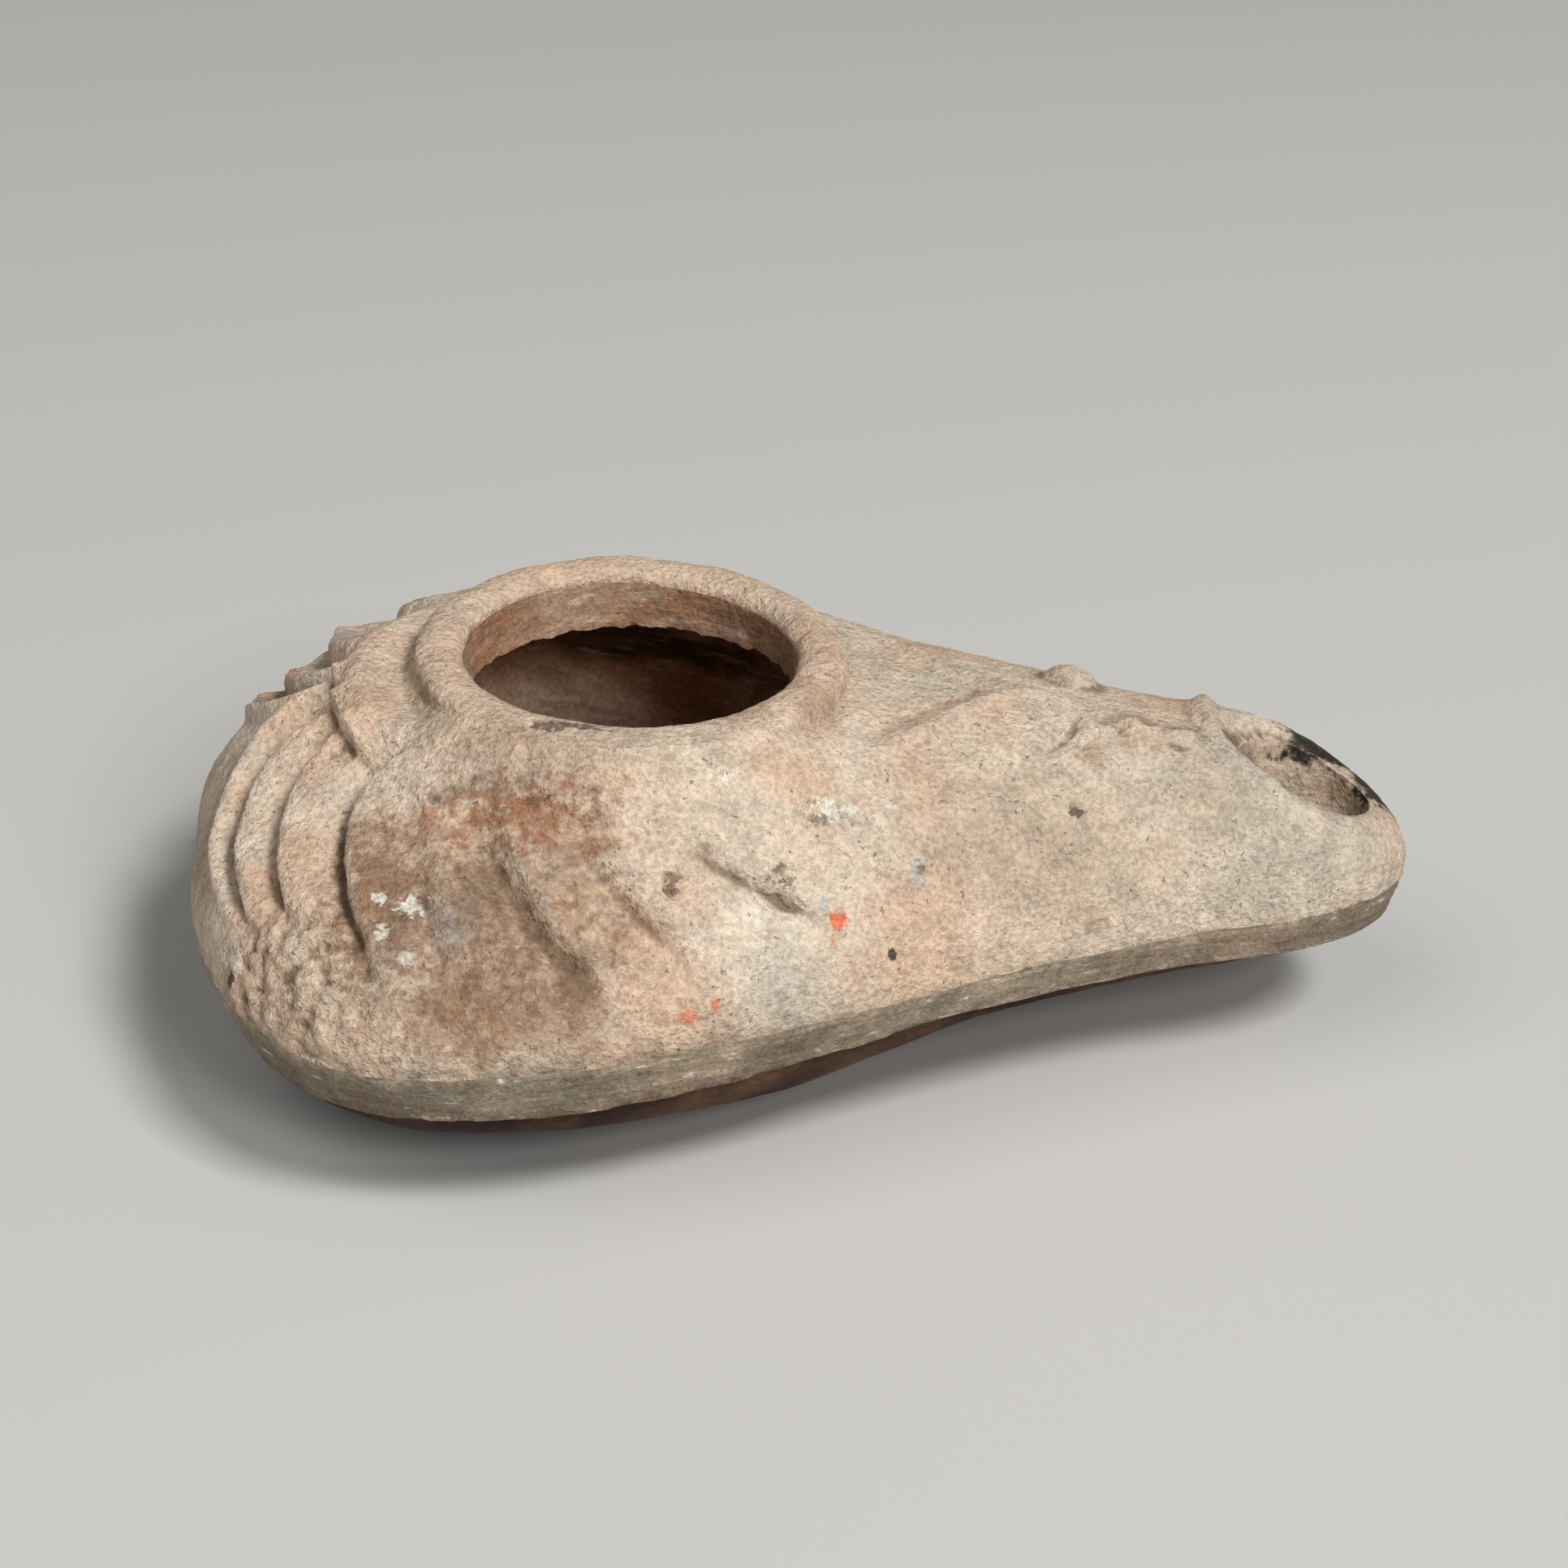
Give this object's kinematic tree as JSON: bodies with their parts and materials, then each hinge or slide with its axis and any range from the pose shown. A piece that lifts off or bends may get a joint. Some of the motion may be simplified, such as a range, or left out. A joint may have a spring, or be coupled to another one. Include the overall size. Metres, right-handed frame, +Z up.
{
  "type": "oil lamp",
  "caption": "Mould-made slipper oil lamp of buff fired clay, hollow, with a ribbed shoulder, a collared filling hole and a wick hole at the nozzle.",
  "frame": {"origin": "on the flat base, straight under the centre of the filling hole", "axes": "+X from the filling hole to the nozzle's tip, +Z up through the filling hole, +Y to the far side"},
  "size_m": [0.1, 0.0716, 0.0334],
  "materials": {
    "fired_clay": "matt unglazed, worn and stained"
  },
  "bodies": {
    "root": {"lamp_body": "fired_clay"}
  },
  "joints": []
}
